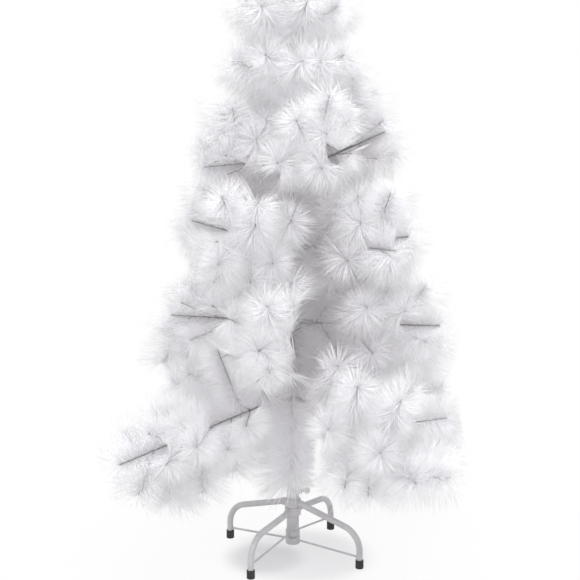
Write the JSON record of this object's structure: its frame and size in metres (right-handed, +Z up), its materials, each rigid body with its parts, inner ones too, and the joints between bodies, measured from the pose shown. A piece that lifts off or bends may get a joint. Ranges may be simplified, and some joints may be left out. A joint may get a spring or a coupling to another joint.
{
  "type": "artificial christmas tree",
  "caption": "White artificial Christmas tree with hinged wire branches of long needles, a two-piece pole and a folding stand of bent tube legs.",
  "frame": {"origin": "on the floor below the pole's axis", "axes": "+Z up along the pole, +X to the right and +Y away from the viewer of the picture"},
  "size_m": [0.6857, 0.6742, 1.5094],
  "materials": {
    "white_paint": "satin",
    "foot_rubber": "matte",
    "zinc_plate": "satin",
    "branch_wire": "satin",
    "needles": "matte"
  },
  "bodies": {
    "stand": {"stand_socket_tube": "white_paint", "upper_leg_collar": "white_paint", "lower_brace_ring": "white_paint", "leg_front_right": "white_paint", "brace_front_right": "white_paint", "foot_cap_front_right": "foot_rubber", "leg_back_left": "white_paint", "brace_back_left": "white_paint", "foot_cap_back_left": "foot_rubber"},
    "turning_legs": {"lower_leg_collar": "white_paint", "upper_brace_ring": "white_paint", "leg_back_right": "white_paint", "brace_back_right": "white_paint", "foot_cap_back_right": "foot_rubber", "leg_front_left": "white_paint", "brace_front_left": "white_paint", "foot_cap_front_left": "foot_rubber"},
    "clamp_screw": {"clamp_screw": "zinc_plate"},
    "lower_section": {"lower_pole": "white_paint", "trunk_garland": "needles", "hinge_collar_1": "zinc_plate", "hinge_collar_2": "zinc_plate", "hinge_collar_3": "zinc_plate", "hinge_collar_4": "zinc_plate"},
    "upper_section": {"upper_pole": "white_paint", "top_sprays_lower": "needles", "top_sprays_upper": "needles", "top_leader": "needles"},
    "branch_1a": {"branch_1a_wire": "branch_wire", "branch_1a_spray": "needles"},
    "branch_1b": {"branch_1b_wire": "branch_wire", "branch_1b_spray": "needles"},
    "branch_1c": {"branch_1c_wire": "branch_wire", "branch_1c_spray": "needles"},
    "branch_1d": {"branch_1d_wire": "branch_wire", "branch_1d_spray": "needles"},
    "branch_2a": {"branch_2a_wire": "branch_wire", "branch_2a_spray": "needles"},
    "branch_2b": {"branch_2b_wire": "branch_wire", "branch_2b_spray": "needles"},
    "branch_2c": {"branch_2c_wire": "branch_wire", "branch_2c_spray": "needles"},
    "branch_2d": {"branch_2d_wire": "branch_wire", "branch_2d_spray": "needles"},
    "branch_3a": {"branch_3a_wire": "branch_wire", "branch_3a_spray": "needles"},
    "branch_3b": {"branch_3b_wire": "branch_wire", "branch_3b_spray": "needles"},
    "branch_3c": {"branch_3c_wire": "branch_wire", "branch_3c_spray": "needles"},
    "branch_3d": {"branch_3d_wire": "branch_wire", "branch_3d_spray": "needles"},
    "branch_4a": {"branch_4a_wire": "branch_wire", "branch_4a_spray": "needles"},
    "branch_4b": {"branch_4b_wire": "branch_wire", "branch_4b_spray": "needles"},
    "branch_4c": {"branch_4c_wire": "branch_wire", "branch_4c_spray": "needles"},
    "branch_4d": {"branch_4d_wire": "branch_wire", "branch_4d_spray": "needles"}
  },
  "joints": [
    {"name": "stand_fold", "type": "hinge", "parent": "stand", "child": "turning_legs", "pos_m": [0, 0, 0.087], "axis": [0, 0, 1], "range_deg": [0, 78]},
    {"name": "clamp_screw_back_off", "type": "slide", "parent": "stand", "child": "clamp_screw", "axis": [1, 0, 0], "range_m": [0, 0.004]},
    {"name": "lower_section_lift", "type": "slide", "parent": "stand", "child": "lower_section", "axis": [0, 0, 1], "range_m": [0, 0.125]},
    {"name": "upper_section_lift", "type": "slide", "parent": "lower_section", "child": "upper_section", "axis": [0, 0, 1], "range_m": [0, 0.06]},
    {"name": "branch_1a_hinge", "type": "hinge", "parent": "lower_section", "child": "branch_1a", "pos_m": [0.02404, 0.01622, 0.32], "axis": [0.5592, -0.829, 0], "range_deg": [0, 94], "deforming": ["branch_1a_spray"]},
    {"name": "branch_1b_hinge", "type": "hinge", "parent": "lower_section", "child": "branch_1b", "pos_m": [-0.01622, 0.02404, 0.32], "axis": [0.829, 0.5592, 0], "range_deg": [0, 94], "deforming": ["branch_1b_spray"]},
    {"name": "branch_1c_hinge", "type": "hinge", "parent": "lower_section", "child": "branch_1c", "pos_m": [-0.02404, -0.01622, 0.32], "axis": [-0.5592, 0.829, 0], "range_deg": [0, 94], "deforming": ["branch_1c_spray"]},
    {"name": "branch_1d_hinge", "type": "hinge", "parent": "lower_section", "child": "branch_1d", "pos_m": [0.01622, -0.02404, 0.32], "axis": [-0.829, -0.5592, 0], "range_deg": [0, 94], "deforming": ["branch_1d_spray"]},
    {"name": "branch_2a_hinge", "type": "hinge", "parent": "lower_section", "child": "branch_2a", "pos_m": [0.02837, -0.00603, 0.46494], "axis": [-0.2079, -0.9781, 0], "range_deg": [0, 81], "deforming": ["branch_2a_spray"]},
    {"name": "branch_2b_hinge", "type": "hinge", "parent": "lower_section", "child": "branch_2b", "pos_m": [0.00603, 0.02837, 0.46494], "axis": [0.9781, -0.2079, 0], "range_deg": [0, 81], "deforming": ["branch_2b_spray"]},
    {"name": "branch_2c_hinge", "type": "hinge", "parent": "lower_section", "child": "branch_2c", "pos_m": [-0.02837, 0.00603, 0.46494], "axis": [0.2079, 0.9781, 0], "range_deg": [0, 81], "deforming": ["branch_2c_spray"]},
    {"name": "branch_2d_hinge", "type": "hinge", "parent": "lower_section", "child": "branch_2d", "pos_m": [-0.00603, -0.02837, 0.46494], "axis": [-0.9781, 0.2079, 0], "range_deg": [0, 81], "deforming": ["branch_2d_spray"]},
    {"name": "branch_3a_hinge", "type": "hinge", "parent": "lower_section", "child": "branch_3a", "pos_m": [0.0158, 0.02432, 0.61194], "axis": [0.8387, -0.5446, 0], "range_deg": [0, 73], "deforming": ["branch_3a_spray"]},
    {"name": "branch_3b_hinge", "type": "hinge", "parent": "lower_section", "child": "branch_3b", "pos_m": [-0.02432, 0.0158, 0.61194], "axis": [0.5446, 0.8387, 0], "range_deg": [0, 73], "deforming": ["branch_3b_spray"]},
    {"name": "branch_3c_hinge", "type": "hinge", "parent": "lower_section", "child": "branch_3c", "pos_m": [-0.0158, -0.02432, 0.61194], "axis": [-0.8387, 0.5446, 0], "range_deg": [0, 73], "deforming": ["branch_3c_spray"]},
    {"name": "branch_3d_hinge", "type": "hinge", "parent": "lower_section", "child": "branch_3d", "pos_m": [0.02432, -0.0158, 0.61194], "axis": [-0.5446, -0.8387, 0], "range_deg": [0, 73], "deforming": ["branch_3d_spray"]},
    {"name": "branch_4a_hinge", "type": "hinge", "parent": "lower_section", "child": "branch_4a", "pos_m": [0.02773, 0.00848, 0.76203], "axis": [0.2924, -0.9563, 0], "range_deg": [0, 60], "deforming": ["branch_4a_spray", "top_sprays_lower"]},
    {"name": "branch_4b_hinge", "type": "hinge", "parent": "lower_section", "child": "branch_4b", "pos_m": [-0.00848, 0.02773, 0.76203], "axis": [0.9563, 0.2924, 0], "range_deg": [0, 60], "deforming": ["branch_4b_spray", "top_sprays_lower"]},
    {"name": "branch_4c_hinge", "type": "hinge", "parent": "lower_section", "child": "branch_4c", "pos_m": [-0.02773, -0.00848, 0.76203], "axis": [-0.2924, 0.9563, 0], "range_deg": [0, 60], "deforming": ["branch_4c_spray", "top_sprays_lower"]},
    {"name": "branch_4d_hinge", "type": "hinge", "parent": "lower_section", "child": "branch_4d", "pos_m": [0.00848, -0.02773, 0.76203], "axis": [-0.9563, -0.2924, 0], "range_deg": [0, 60], "deforming": ["branch_4d_spray", "top_sprays_lower"]}
  ]
}
